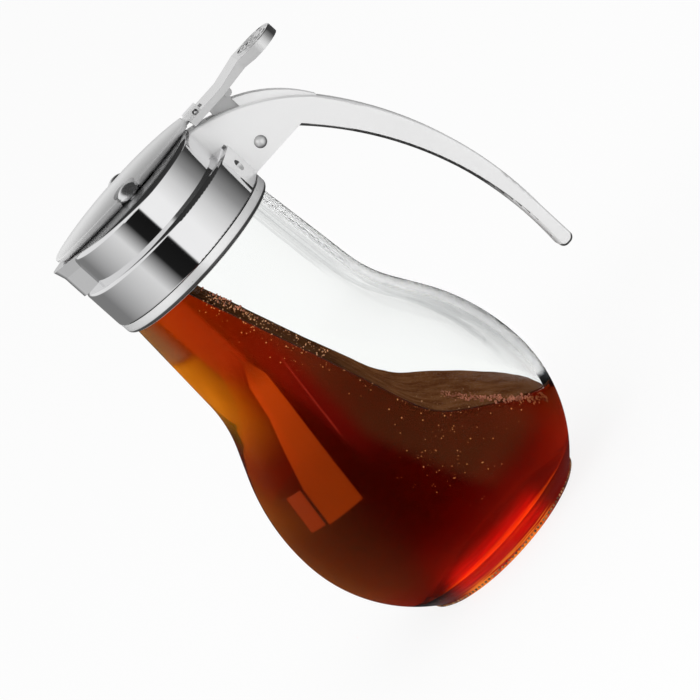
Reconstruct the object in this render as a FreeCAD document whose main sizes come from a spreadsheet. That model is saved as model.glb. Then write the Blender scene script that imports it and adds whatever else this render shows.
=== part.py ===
import FreeCAD, Part
import math
import os
import re
import Sketcher

# Pour-spout syrup jar, upright on its base. Millimetres.
# +Z up, the spout towards -X, the handle and thumb lever towards +X.
# The origin is the centre of the ring that the glass stands on.

sizeRows = [
    # Glass jar: a round belly between two arcs, a straight shoulder, a throat and a slightly tapered neck.
    ("bellyRadius", 45.0),
    ("bellyHeight", 37.0),
    ("lowerCurve", 46.5),
    ("upperCurve", 66.0),
    ("shoulderLean", 27.0),
    ("throatCurve", 40.0),
    ("neckLean", 4.5),
    ("neckRadius", 26.9),
    ("wall", 3.0),
    # Base: a flat standing ring, a rounded heel and a shallow push-up under the middle.
    ("heelHeight", 2.2),
    ("heelInset", 2.3),
    ("heelRound", 2.6),
    ("standingWidth", 3.0),
    ("pushUp", 3.5),
    ("baseThickness", 7.0),
    ("floorRise", 2.5),
    ("floorInset", 6.2),
    ("floorRound", 7.5),
    # Top of the glass: the bead under the cap and the plain finish inside it.
    ("beadBottom", 121.5),
    ("beadLip", 0.4),
    ("beadRadius", 1.8, "neckRadius"),
    ("beadRound", 2.1),
    ("beadTop", 4.0, "beadBottom"),
    ("finishRadius", -0.6, "neckRadius"),
    ("rimHeight", 10.9, "beadTop"),
    # Syrup: it stands against the wall on the spout side, as it does while the jar is tipped to pour.
    ("syrupGap", 0.1),
    ("syrupTop", 4.5, "beadTop"),
    ("surfaceReach", 10.8),
    ("surfaceHeight", 49.2),
    ("surfaceSteep", 15.7),
    ("surfaceShallow", 47.4),
    ("surfaceBend", 25.0),
    # Cap: a band round the neck, a smaller ring above it and a flat lid.
    ("bandRadius", 2.2, "neckRadius"),
    ("bandEdge", 0.6),
    ("bandRound", 1.2),
    ("boreGap", 0.3),
    ("ledgeHeight", 2.3, "rimHeight"),
    ("ringRadius", -4.2, "bandRadius"),
    ("ringWall", 2.0),
    ("lidHeight", 11.0, "ledgeHeight"),
    ("lidRound", 1.5),
    ("lidThickness", 3.2),
    ("lidGrooveWidth", 0.5),
    ("lidGrooveDepth", 0.4),
    # Spout beak on the front of the ring, and the channel that the syrup leaves by.
    ("beakRoot", -1.5, "ringRadius"),
    ("beakHalf", 6.5),
    ("beakShoulder", 3.8, "ringRadius"),
    ("beakNoseHalf", 2.0),
    ("beakNoseRound", 2.4),
    ("lipDrop", 3.6),
    ("lipFlare", 14.0),
    ("channelFront", 1.3, "ringRadius"),
    ("channelBack", -5.4, "ringRadius"),
    ("channelHalf", 2.5),
    ("channelRound", 2.2),
    ("channelDepth", 9.5),
    # Sliding gate: a leaf-shaped plate, crowned both ways, that covers the channel.
    ("gateGap", 0.3),
    ("leafHalf", -10.9, "ringRadius"),
    ("leafCurve", 42.5),
    ("leafNose", 7.9),
    ("leafBack", 1.4, "ringRadius"),
    ("crownRise", 3.87),
    ("crownCross", 70.0),
    ("crownAlong", 182.0),
    ("leafUndercut", 0.9),
    ("leafEdge", 0.5),
    ("gateTravel", 7.4),
    # Gate tail: the block between the lever's two prongs, with an upright slot for the link pin.
    ("tailRoot", -4.7, "bandRadius"),
    ("tailFront", 3.6, "tailRoot"),
    ("tailStep", 2.5, "tailRoot"),
    ("tailBack", 7.5, "tailRoot"),
    ("tailBottom", -1.5, "lidHeight"),
    ("tailTop", 2.6, "lidHeight"),
    ("tailHalf", 2.3),
    ("tailLip", 1.6),
    ("linkReach", 5.8, "tailRoot"),
    ("linkHeight", 0.05, "lidHeight"),
    ("linkRadius", 0.75),
    ("linkHalf", 5.4),
    ("linkPlay", 0.15),
    ("linkRise", 1.05),
    # Guide studs: dome-headed, riveted through the gate, with a foot that runs in a T-slot in the lid.
    ("studReach", 0.5),
    ("studSpread", -2.2, "leafHalf"),
    ("studRadius", 4.1),
    ("studSeat", 2.6),
    ("studBelly", 1.3),
    ("studDome", 2.2),
    ("keyRadius", 1.4),
    ("footRadius", 2.1),
    ("footThickness", 0.95),
    ("lipThickness", 1.0),
    ("keyPlay", 0.3),
    # Handle: a flat casting that arcs back and down to a blunt tip.
    ("handleThickness", 8.0),
    ("handleBottom", 0.7, "beadTop"),
    ("rootReach", -9.1, "bandRadius"),
    ("archReach", -18.3, "bandRadius"),
    ("archHeight", -59.3, "lidHeight"),
    ("archCurve", 59.7),
    ("archEnd", 26.9, "bandRadius"),
    ("gripCurve", 112.0),
    ("gripReach", 48.1, "bandRadius"),
    ("gripHeight", -91.7, "lidHeight"),
    ("innerStart", 18.0, "bandRadius"),
    ("innerCurve", 110.0),
    ("tipInner", -4.8, "gripReach"),
    ("tipBottom", -105.5, "lidHeight"),
    ("tipRound", 2.0),
    ("handleEdge", 0.8),
    # Raised spine along the top of the handle, behind the lever's web.
    ("spineStart", 10.8, "bandRadius"),
    ("spineTop", -4.1, "lidHeight"),
    ("spineEnd", 28.1, "bandRadius"),
    ("spineFoot", -21.4, "lidHeight"),
    ("spineCurve", 40.0),
    ("spineWidth", 5.2),
    # Saddle: flat-faced flanges that seat the handle in the back of the band.
    ("saddleHalf", 14.9),
    ("saddleReach", 0.3, "bandRadius"),
    ("saddleThickness", 1.3),
    ("saddleTop", -1.1, "ledgeHeight"),
    ("spotHeight", -6.3, "ledgeHeight"),
    ("spotSpread", 9.3),
    ("spotRadius", 1.9),
    ("spotFloor", -2.5, "bandRadius"),
    # Pivot: a dome-headed rivet through the forked root of the handle.
    ("pivotReach", 7.3, "bandRadius"),
    ("pivotHeight", -18.3, "lidHeight"),
    ("rivetRadius", 1.5),
    ("rivetHead", 1.9),
    ("rivetDome", 0.9),
    ("rivetPlay", 0.02),
    ("hubRadius", 4.5),
    ("hubPlay", 0.06),
    ("forkPlay", 0.3),
    ("forkFront", 1.7, "bandRadius"),
    ("forkRear", 18.4, "bandRadius"),
    ("channelEnd", 27.5, "bandRadius"),
    ("channelDip", 2.6),
    # Thumb lever: a strap with two front prongs, a web down to the pivot and an oval pad.
    ("strapFront", -2.0, "bandRadius"),
    ("strapTop", 1.05, "lidHeight"),
    ("strapThickness", 2.1),
    ("strapHalf", 7.0),
    ("strapBendStart", 9.4, "bandRadius"),
    ("strapBendEnd", 10.5, "strapBendStart"),
    ("prongInner", 2.6),
    ("prongLength", 5.9),
    ("padRise", 1.6),
    ("padDrop", 2.0),
    ("padHalf", 8.0),
    ("padCentre", 5.9, "strapBendEnd"),
    ("padHollow", 5.4),
    ("padHollowDepth", 1.5),
    ("webThickness", 2.4),
    ("webFront", -3.1, "pivotReach"),
    ("webRear", 3.8, "pivotReach"),
    ("webLean", 24.0),
    ("rollRadius", 1.3),
    ("rollHalf", 2.2),
    ("rollDrop", 3.05),
]

doc = FreeCAD.newDocument("SyrupJar")
sheet = doc.addObject("Spreadsheet::Sheet", "Sizes")
for row, (alias, size, *datum) in enumerate(sizeRows, start=1):
    sheet.set("A%d" % row, alias)
    sheet.setAlias("B%d" % row, alias)
for row, (alias, size, *datum) in enumerate(sizeRows, start=1):
    sheet.set("B%d" % row, "=%s + %s" % (datum[0], size) if datum else str(size))
doc.recompute()

aliases = {row[0] for row in sizeRows}


def bound(text):
    """The text of a formula, with each size's name pointing at its cell."""
    return re.sub(r"[A-Za-z]+", lambda word: "Sizes." + word[0] if word[0] in aliases else word[0], text)


def value(text):
    """What a formula comes to with the sizes as they stand."""
    return float(sheet.evalExpression(bound(text)))


def bind(thing, path, text):
    thing.setExpression(path, bound(text))


# Sketches

def newBody(label):
    body = doc.addObject("PartDesign::Body", label.replace("_", " ").title().replace(" ", ""))
    body.Label = label
    return body


def newSketch(body, name, role, offset=None):
    """A sketch on one of the body's own planes, moved along that plane's normal by the offset."""
    plane = [feature for feature in body.Origin.OriginFeatures if feature.Role == role][0]
    sketch = body.newObject("Sketcher::SketchObject", name)
    sketch.AttachmentSupport = [(plane, "")]
    sketch.MapMode = "FlatFace"
    if offset:
        bind(sketch, "AttachmentOffset.Base.z", offset)
    return sketch


def bindDatum(sketch, kind, places, text):
    index = sketch.addConstraint(Sketcher.Constraint(kind, *places, value(text)))
    bind(sketch, "Constraints[%d]" % index, text)


def pinPoint(sketch, edge, end, across, up):
    """Hold one end of an edge at a place measured from the sketch's origin."""
    if across == "0":
        sketch.addConstraint(Sketcher.Constraint("PointOnObject", edge, end, -2))
    else:
        bindDatum(sketch, "DistanceX", (-1, 1, edge, end), across)
    if up == "0":
        sketch.addConstraint(Sketcher.Constraint("PointOnObject", edge, end, -1))
    else:
        bindDatum(sketch, "DistanceY", (-1, 1, edge, end), up)


def arcBetween(first, second, radius, turn):
    """The short arc from one point to the next, with its centre on the left or the right of the way."""
    chord = second - first
    side = FreeCAD.Vector(-chord.y, chord.x, 0).normalize()
    if turn == "right":
        side = -side
    centre = (first + second) * 0.5 + side * math.sqrt(max(radius ** 2 - (chord.Length / 2) ** 2, 0.0))
    fromCentre, toCentre = (first - centre, second - centre)
    if turn == "right":
        fromCentre, toCentre = toCentre, fromCentre
    circle = Part.Circle(centre, FreeCAD.Vector(0, 0, 1), radius)
    return Part.ArcOfCircle(circle, math.atan2(fromCentre.y, fromCentre.x), math.atan2(toCentre.y, toCentre.x))


def drawOutline(sketch, corners):
    """A closed outline: corners are (across, up) before a line, or (across, up, radius, turn) before an arc."""
    points = [FreeCAD.Vector(value(corner[0]), value(corner[1]), 0) for corner in corners]
    previousEnd = None
    firstStart = None
    for number, corner in enumerate(corners):
        here, there = points[number], points[(number + 1) % len(points)]
        if len(corner) == 2:
            edge = sketch.addGeometry(Part.LineSegment(here, there), False)
            start, end = 1, 2
        else:
            edge = sketch.addGeometry(arcBetween(here, there, value(corner[2]), corner[3]), False)
            bindDatum(sketch, "Radius", (edge,), corner[2])
            start, end = (1, 2) if corner[3] == "left" else (2, 1)
        pinPoint(sketch, edge, start, corner[0], corner[1])
        if previousEnd:
            sketch.addConstraint(Sketcher.Constraint("Coincident", previousEnd[0], previousEnd[1], edge, start))
        else:
            firstStart = (edge, start)
        previousEnd = (edge, end)
    sketch.addConstraint(Sketcher.Constraint("Coincident", previousEnd[0], previousEnd[1], *firstStart))


def drawRoundedBox(sketch, left, right, low, high, corner):
    """A rectangle with quarter-round corners."""
    drawOutline(sketch, [
        (left + " + " + corner, low),
        (right + " - " + corner, low, corner, "left"),
        (right, low + " + " + corner),
        (right, high + " - " + corner, corner, "left"),
        (right + " - " + corner, high),
        (left + " + " + corner, high, corner, "left"),
        (left, high + " - " + corner),
        (left, low + " + " + corner, corner, "left"),
    ])


def drawCircle(sketch, across, up, radius):
    centre = FreeCAD.Vector(value(across), value(up), 0)
    edge = sketch.addGeometry(Part.Circle(centre, FreeCAD.Vector(0, 0, 1), value(radius)), False)
    bindDatum(sketch, "Radius", (edge,), radius)
    pinPoint(sketch, edge, 3, across, up)


# Features

def volumeOf(body):
    return body.Shape.Volume if not body.Shape.isNull() else 0.0


def finish(body, feature, removes):
    """Recompute, and make sure that the feature added or removed material."""
    before = volumeOf(body)
    doc.recompute()
    after = volumeOf(body)
    if (removes and after >= before - 1e-6) or (not removes and after <= before + 1e-6):
        raise ValueError("%s of %s changes nothing" % (feature.Name, body.Label))
    return feature


def revolve(body, sketch, axis="V_Axis"):
    feature = body.newObject("PartDesign::Revolution", sketch.Name + "Turn")
    feature.Profile = sketch
    feature.ReferenceAxis = (sketch, [axis])
    feature.Angle = 360
    return finish(body, feature, False)


def groove(body, sketch, axis="V_Axis"):
    feature = body.newObject("PartDesign::Groove", sketch.Name + "Cut")
    feature.Profile = sketch
    feature.ReferenceAxis = (sketch, [axis])
    feature.Angle = 360
    return finish(body, feature, True)


def pad(body, sketch, length, symmetric=False, flare=None):
    feature = body.newObject("PartDesign::Pad", sketch.Name + "Pad")
    feature.Profile = sketch
    feature.SideType = "Symmetric" if symmetric else "One side"
    bind(feature, "Length", length)
    if flare:
        bind(feature, "TaperAngle", flare)
    return finish(body, feature, False)


def pocket(body, sketch, length=None, symmetric=False, back=False):
    feature = body.newObject("PartDesign::Pocket", sketch.Name + "Cut")
    feature.Profile = sketch
    feature.SideType = "Symmetric" if symmetric else "One side"
    feature.Reversed = back
    if length:
        bind(feature, "Length", length)
    else:
        feature.Type = "ThroughAll"
    return finish(body, feature, True)


def edgesWhere(feature, wanted):
    """Names of the feature's edges that pass a test of their bounding box."""
    names = []
    for number, edge in enumerate(feature.Shape.Edges, start=1):
        if wanted(edge.BoundBox):
            names.append("Edge%d" % number)
    if not names:
        raise ValueError("no edge of %s fits" % feature.Name)
    return names


def softenEdges(body, feature, kind, name, size, wanted):
    dressed = body.newObject("PartDesign::" + kind, name)
    dressed.Base = (feature, edgesWhere(feature, wanted))
    bind(dressed, "Radius" if kind == "Fillet" else "Size", size)
    doc.recompute()
    if dressed.Shape.isNull() or not dressed.Shape.isValid():
        raise ValueError("%s of %s failed" % (name, body.Label))
    return dressed


# Glass jar and syrup

lowerReach = "(bellyRadius - lowerCurve)"
upperReach = "(bellyRadius - upperCurve)"
shoulderReach = "(" + upperReach + " + upperCurve * cos(shoulderLean))"
shoulderHeight = "(bellyHeight + upperCurve * sin(shoulderLean))"
# Where the shoulder's line and the neck's line would cross if the throat were sharp.
crossHeight = (
    "((" + shoulderReach + " + " + shoulderHeight + " * tan(shoulderLean) - neckRadius"
    " - beadBottom * tan(neckLean)) / (tan(shoulderLean) - tan(neckLean)))"
)
crossReach = "(neckRadius + (beadBottom - " + crossHeight + ") * tan(neckLean))"
# The throat is rounded as far as the straight shoulder leaves room for it.
throatTurn = "tan((shoulderLean - neckLean) / 2)"
throatRoom = "(0.95 * (" + shoulderReach + " - " + crossReach + ") / sin(shoulderLean) / " + throatTurn + ")"
throatRound = "min(throatCurve; " + throatRoom + ")"
throatTangent = "(" + throatRound + " * " + throatTurn + ")"
throatReach = (
    "(" + crossReach + " + " + throatTangent + " * sin(shoulderLean) + " + throatRound + " * cos(shoulderLean))"
)
throatHeight = (
    "(" + crossHeight + " - " + throatTangent + " * cos(shoulderLean) + " + throatRound + " * sin(shoulderLean))"
)


def lowerWall(inset, height):
    """Radius of the lower belly at a height, a distance inside the outer face."""
    return "(" + lowerReach + " + sqrt((lowerCurve - " + inset + ") ^ 2 - (bellyHeight - " + height + ") ^ 2))"


def neckWall(inset, height):
    return "(neckRadius + (beadBottom - " + height + ") * tan(neckLean) - " + inset + " / cos(neckLean))"


def throatPoint(inset, lean):
    reach = throatReach + " - (" + throatRound + " + " + inset + ") * cos(" + lean + ")"
    height = throatHeight + " - (" + throatRound + " + " + inset + ") * sin(" + lean + ")"
    return reach, height


def shoulderPoint(inset):
    reach = upperReach + " + (upperCurve - " + inset + ") * cos(shoulderLean)"
    height = "bellyHeight + (upperCurve - " + inset + ") * sin(shoulderLean)"
    return reach, height


def cavityWall(inset, top):
    """The inside of the glass, a distance inside its outer face, from the top to the middle of the floor."""
    floorHeight = "(baseThickness + floorRise)"
    floorEdge = lowerWall(inset, floorHeight)
    return [
        (neckWall(inset, top), top),
        (*throatPoint(inset, "neckLean"), throatRound + " + " + inset, "left"),
        throatPoint(inset, "shoulderLean"),
        (*shoulderPoint(inset), "upperCurve - " + inset, "right"),
        ("bellyRadius - " + inset, "bellyHeight", "lowerCurve - " + inset, "right"),
        (floorEdge, floorHeight, "floorRound", "right"),
        (floorEdge + " - floorInset", "baseThickness"),
        ("0", "baseThickness"),
    ]


def makeJar():
    body = newBody("jar")
    heelEdge = lowerWall("0", "heelHeight")
    standingEdge = heelEdge + " - heelInset"
    standingInner = "(" + standingEdge + " - standingWidth)"
    sketch = newSketch(body, "JarSection", "XZ_Plane")
    drawOutline(sketch, [
        ("0", "pushUp", "(" + standingInner + " ^ 2 + pushUp ^ 2) / (2 * pushUp)", "right"),
        (standingInner, "0"),
        (standingEdge, "0", "heelRound", "left"),
        (heelEdge, "heelHeight", "lowerCurve", "left"),
        ("bellyRadius", "bellyHeight", "upperCurve", "left"),
        shoulderPoint("0"),
        (*throatPoint("0", "shoulderLean"), throatRound, "right"),
        throatPoint("0", "neckLean"),
        ("neckRadius", "beadBottom"),
        ("neckRadius + beadLip", "beadBottom", "beadRound", "left"),
        ("beadRadius", "beadBottom + beadRound"),
        ("beadRadius", "beadTop"),
        ("finishRadius", "beadTop"),
        ("finishRadius", "rimHeight"),
    ] + cavityWall("wall", "rimHeight"))
    revolve(body, sketch)
    return body


def makeSyrup():
    body = newBody("syrup")
    inset = "(wall + syrupGap)"
    sketch = newSketch(body, "SyrupSection", "XZ_Plane")
    drawOutline(sketch, [("0", "syrupTop")] + cavityWall(inset, "syrupTop"))
    revolve(body, sketch)
    # Clear of syrup: everything above its surface, which is steep in the neck and bends to the pool's slope.
    bend = "(surfaceBend * tan((surfaceShallow - surfaceSteep) / 2))"
    above = "(rimHeight - surfaceHeight)"
    clear = newSketch(body, "SyrupSurface", "XZ_Plane")
    drawOutline(clear, [
        ("surfaceReach - " + above + " * tan(surfaceSteep)", "rimHeight"),
        ("surfaceReach - " + bend + " * sin(surfaceSteep)", "surfaceHeight + " + bend + " * cos(surfaceSteep)",
         "surfaceBend", "left"),
        ("surfaceReach + " + bend + " * sin(surfaceShallow)",
         "surfaceHeight - " + bend + " * cos(surfaceShallow)"),
        ("surfaceReach + bellyRadius", "surfaceHeight - bellyRadius / tan(surfaceShallow)"),
        ("surfaceReach + bellyRadius", "rimHeight"),
    ])
    pocket(body, clear, symmetric=True)
    return body


# Cap

saddleEdge = "sqrt(bandRadius ^ 2 - saddleHalf ^ 2)"
handleHalf = "(handleThickness / 2)"


def saddleOutline(outer):
    """Plan of the handle's flanges: flat faces from the band's side to the handle's cheeks, and their back."""
    inner = [
        (saddleEdge + " - saddleThickness", "saddleHalf"),
        ("saddleReach - saddleThickness", handleHalf),
        ("saddleReach - saddleThickness", "-" + handleHalf),
        (saddleEdge + " - saddleThickness", "-saddleHalf"),
    ]
    return inner + outer


def makeCap():
    body = newBody("cap")
    bore = "(finishRadius + boreGap)"
    lidEdge = "(ringRadius - lidRound)"
    ringInner = "(ringRadius - ringWall)"
    section = newSketch(body, "CapSection", "XZ_Plane")
    drawOutline(section, [
        (bore, "beadTop"),
        ("bandRadius - bandEdge", "beadTop", "bandEdge", "left"),
        ("bandRadius", "beadTop + bandEdge"),
        ("bandRadius", "ledgeHeight - bandRound", "bandRound", "left"),
        ("bandRadius - bandRound", "ledgeHeight"),
        ("ringRadius", "ledgeHeight"),
        ("ringRadius", "lidHeight - lidRound", "lidRound", "left"),
        (lidEdge, "lidHeight"),
        (lidEdge, "lidHeight - lidGrooveDepth"),
        (lidEdge + " - lidGrooveWidth", "lidHeight - lidGrooveDepth"),
        (lidEdge + " - lidGrooveWidth", "lidHeight"),
        ("0", "lidHeight"),
        ("0", "lidHeight - lidThickness"),
        (ringInner, "lidHeight - lidThickness"),
        (ringInner, "rimHeight"),
        (bore, "rimHeight"),
    ])
    revolve(body, section)
    addBeak(body)
    cutGuideSlots(body)
    seat = newSketch(body, "SaddleSeat", "XY_Plane", "ledgeHeight")
    clearOfBand = "(bandRadius + saddleThickness)"
    drawOutline(seat, saddleOutline([(clearOfBand, "-saddleHalf"), (clearOfBand, "saddleHalf")]))
    pocket(body, seat, "ledgeHeight - handleBottom")
    return body


def beakOutline():
    return [
        ("-beakRoot", "beakHalf"),
        ("-beakShoulder", "beakNoseHalf", "beakNoseRound", "left"),
        ("-beakShoulder", "-beakNoseHalf"),
        ("-beakRoot", "-beakHalf"),
    ]


def addBeak(body):
    beak = newSketch(body, "Beak", "XY_Plane", "ledgeHeight")
    drawOutline(beak, beakOutline())
    pad(body, beak, "lidHeight - ledgeHeight")
    lip = newSketch(body, "BeakLip", "XY_Plane", "lidHeight - lipDrop")
    drawOutline(lip, beakOutline())
    pad(body, lip, "lipDrop", flare="lipFlare")
    channel = newSketch(body, "PourChannel", "XY_Plane", "lidHeight")
    drawRoundedBox(channel, "-channelFront", "-channelBack", "-channelHalf", "channelHalf", "channelRound")
    pocket(body, channel, "channelDepth")


def cutGuideSlots(body):
    """A T-slot on each side, as long as the gate's travel: a narrow mouth and a wider run below it."""
    for side, sign in (("Left", ""), ("Right", "-")):
        for part, radius, top, depth in (
            ("Mouth", "(keyRadius + keyPlay)", "lidHeight", "lipThickness"),
            ("Run", "(footRadius + keyPlay)", "lidHeight - lipThickness",
             "footThickness + 2 * keyPlay"),
        ):
            slot = newSketch(body, "Guide" + side + part, "XY_Plane", top)
            middle = sign + "studSpread"
            drawRoundedBox(slot, "studReach - " + radius, "studReach + gateTravel + " + radius,
                           middle + " - " + radius, middle + " + " + radius, "(" + radius + " - 0.05)")
            pocket(body, slot, depth)


# Handle, its rivet and its seat

def makeHandle():
    body = newBody("handle")
    archTop = "archHeight + sqrt(archCurve ^ 2 - (ROOT - archReach) ^ 2)"
    plate = newSketch(body, "HandleSide", "XZ_Plane")
    drawOutline(plate, [
        ("rootReach", "handleBottom"),
        ("innerStart", "handleBottom", "innerCurve", "right"),
        ("tipInner", "tipBottom + tipRound", "tipRound", "left"),
        ("tipInner + tipRound", "tipBottom"),
        ("gripReach - tipRound", "tipBottom", "tipRound", "left"),
        ("gripReach", "tipBottom + tipRound"),
        ("gripReach", "gripHeight", "gripCurve", "left"),
        ("archEnd", archTop.replace("ROOT", "archEnd"), "archCurve", "left"),
        ("rootReach", archTop.replace("ROOT", "rootReach")),
    ])
    side = pad(body, plate, "handleThickness", symmetric=True)
    half = value(handleHalf)
    longEdges = value("innerStart") - 0.5
    softenEdges(body, side, "Fillet", "HandleEdges", "handleEdge",
                lambda box: box.YLength < 0.01 and abs(abs(box.YMax) - half) < 0.01 and box.XMin > longEdges
                and box.ZLength + box.XLength > 0.5)
    spine = newSketch(body, "Spine", "XZ_Plane")
    inside = "(handleThickness / 2)"
    drawOutline(spine, [
        ("spineStart", "spineTop - 2 * " + inside),
        ("spineEnd - " + inside, "spineFoot"),
        ("spineEnd", "spineFoot", "spineCurve", "left"),
        ("spineStart", "spineTop"),
    ])
    pad(body, spine, "spineWidth", symmetric=True)
    # The root is hollowed to the cap's outside: the band below the ledge and the ring above it.
    hollow = newSketch(body, "RootHollow", "XZ_Plane")
    drawOutline(hollow, [
        ("0", "beadBottom"),
        ("bandRadius", "beadBottom"),
        ("bandRadius", "ledgeHeight"),
        ("ringRadius", "ledgeHeight"),
        ("ringRadius", "lidHeight + lidThickness"),
        ("0", "lidHeight + lidThickness"),
    ])
    groove(body, hollow)
    saddle = newSketch(body, "Saddle", "XY_Plane", "handleBottom")
    drawOutline(saddle, saddleOutline([
        (saddleEdge, "-saddleHalf"),
        ("saddleReach", "-" + handleHalf),
        ("saddleReach", handleHalf),
        (saddleEdge, "saddleHalf"),
    ]))
    pad(body, saddle, "saddleTop - handleBottom")
    cutFork(body)
    for side, sign in (("Left", ""), ("Right", "-")):
        spot = newSketch(body, "Spot" + side, "YZ_Plane", "spotFloor")
        drawCircle(spot, sign + "spotSpread", "spotHeight", "spotRadius")
        pocket(body, spot, "saddleReach - spotFloor", back=True)
    return body


def cutFork(body):
    """The slot that the lever's web turns in, the shallow channel behind it and the rivet's hole."""
    hub = "(hubRadius + forkPlay)"
    dip = "(archCurve - channelDip)"
    dipTop = "archHeight + sqrt(" + dip + " ^ 2 - (PLACE - archReach) ^ 2)"
    fork = newSketch(body, "Fork", "XZ_Plane")
    drawOutline(fork, [
        ("forkFront", "lidHeight"),
        ("forkFront", "pivotHeight"),
        ("pivotReach - " + hub, "pivotHeight", hub, "left"),
        ("pivotReach", "pivotHeight - " + hub, hub, "left"),
        ("pivotReach + " + hub, "pivotHeight"),
        ("forkRear", dipTop.replace("PLACE", "forkRear"), dip, "right"),
        ("channelEnd", dipTop.replace("PLACE", "channelEnd")),
        ("channelEnd + channelDip", "lidHeight"),
    ])
    pocket(body, fork, "webThickness + 2 * forkPlay", symmetric=True)
    hole = newSketch(body, "RivetHole", "XZ_Plane")
    drawCircle(hole, "pivotReach", "pivotHeight", "rivetRadius + rivetPlay")
    pocket(body, hole, symmetric=True)


def makeRivet():
    body = newBody("pivot_rivet")
    dome = "(rivetHead ^ 2 + rivetDome ^ 2) / (2 * rivetDome)"
    sketch = newSketch(body, "RivetSection", "XY_Plane")
    drawOutline(sketch, [
        ("0", "-" + handleHalf + " - rivetDome", dome, "left"),
        ("rivetHead", "-" + handleHalf),
        ("rivetRadius", "-" + handleHalf),
        ("rivetRadius", handleHalf),
        ("rivetHead", handleHalf, dome, "left"),
        ("0", handleHalf + " + rivetDome"),
    ])
    revolve(body, sketch)
    bind(body, "Placement.Base.x", "pivotReach")
    bind(body, "Placement.Base.z", "pivotHeight")
    return body


# Gate and guide studs

gateBottom = "(lidHeight + gateGap)"
leafSide = "(leafCurve - leafHalf)"
leafReach = "(sqrt((leafCurve - leafNose) ^ 2 - " + leafSide + " ^ 2) + leafNose)"
# The crown leaves this much height at the nose, which limits the chamfer and the fillet there.
noseThickness = "(crownRise - crownAlong + sqrt(crownAlong ^ 2 - " + leafReach + " ^ 2))"
undercut = "min(leafUndercut; 0.6 * " + noseThickness + ")"
leafRound = "min(leafEdge; 0.8 * (" + noseThickness + " - " + undercut + "))"


def leafOutline():
    """The leaf in plan: two long side arcs, a round nose that they run into and a square back."""
    reach = "(leafCurve - leafNose)"
    noseCentre = "sqrt(" + reach + " ^ 2 - " + leafSide + " ^ 2)"
    meetAcross = "-" + noseCentre + " * leafCurve / " + reach
    meetUp = "(" + leafSide + " * leafCurve / " + reach + " - " + leafSide + ")"
    back = "(sqrt(leafCurve ^ 2 - leafBack ^ 2) - " + leafSide + ")"
    return [
        ("leafBack", "-" + back),
        ("leafBack", back, "leafCurve", "left"),
        (meetAcross, meetUp, "leafNose", "left"),
        (meetAcross, "-" + meetUp, "leafCurve", "left"),
    ]


def makeGate():
    body = newBody("gate")
    leaf = newSketch(body, "Leaf", "XY_Plane", gateBottom)
    drawOutline(leaf, leafOutline())
    pad(body, leaf, "2 * crownRise")
    crown = crownCut(body)
    bottom = value(gateBottom)
    undercutTop = bottom + value(undercut)
    chamfered = softenEdges(body, crown, "Chamfer", "LeafUndercut", undercut,
                            lambda box: box.ZMax < bottom + 0.01)
    softenEdges(body, chamfered, "Fillet", "LeafEdge", leafRound,
                lambda box: box.ZMin > undercutTop + 0.02)
    for side, sign in (("Left", ""), ("Right", "-")):
        seat = newSketch(body, "StudSeat" + side, "XY_Plane", gateBottom)
        drawCircle(seat, "studReach", sign + "studSpread", "studRadius + rivetPlay")
        pocket(body, seat, back=True)
    addGateTail(body)
    return body


def crownCut(body):
    """Round the leaf's top both ways: an arc across it, carried round a far axis under its middle."""
    edge = "(1.5 * leafHalf)"
    edgeReach = "crownAlong - crownCross + sqrt(crownCross ^ 2 - " + edge + " ^ 2)"
    sketch = newSketch(body, "Crown", "XY_Plane", gateBottom + " + crownRise - crownAlong")
    drawOutline(sketch, [
        (edgeReach, "-" + edge, "crownCross", "left"),
        (edgeReach, edge),
        ("crownAlong + 2 * crownRise", edge),
        ("crownAlong + 2 * crownRise", "-" + edge),
    ])
    return groove(body, sketch)


def addGateTail(body):
    tail = newSketch(body, "Tail", "XZ_Plane")
    drawOutline(tail, [
        ("tailRoot", gateBottom),
        ("tailFront", gateBottom),
        ("tailFront", "tailBottom"),
        ("tailBack", "tailBottom"),
        ("tailBack", "tailTop"),
        ("tailStep", "tailTop"),
        ("tailStep", gateBottom + " + tailLip"),
        ("tailRoot", gateBottom + " + tailLip"),
    ])
    pad(body, tail, "2 * tailHalf", symmetric=True)
    half = "(linkRadius + linkPlay)"
    slot = newSketch(body, "LinkSlot", "XZ_Plane")
    drawRoundedBox(slot, "linkReach - " + half, "linkReach + " + half,
                   "linkHeight - " + half, "linkHeight + linkRise + " + half, "(" + half + " - 0.05)")
    pocket(body, slot, symmetric=True)


def makeStud(label, sign):
    body = newBody(label)
    footTop = "(lidHeight - lipThickness - keyPlay)"
    belly = gateBottom + " + studBelly"
    sketch = newSketch(body, "Section" + body.Name, "XZ_Plane")
    drawOutline(sketch, [
        ("0", footTop + " - footThickness"),
        ("footRadius", footTop + " - footThickness"),
        ("footRadius", footTop),
        ("keyRadius", footTop),
        ("keyRadius", gateBottom),
        ("studSeat", gateBottom, "studRadius - studSeat + studBelly / 4", "left"),
        ("studRadius", belly, "(studRadius ^ 2 + studDome ^ 2) / (2 * studDome)", "left"),
        ("0", belly + " + studDome"),
    ])
    revolve(body, sketch)
    bind(body, "Placement.Base.x", "studReach")
    bind(body, "Placement.Base.y", sign + "studSpread")
    return body


# Thumb lever and link pin

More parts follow.
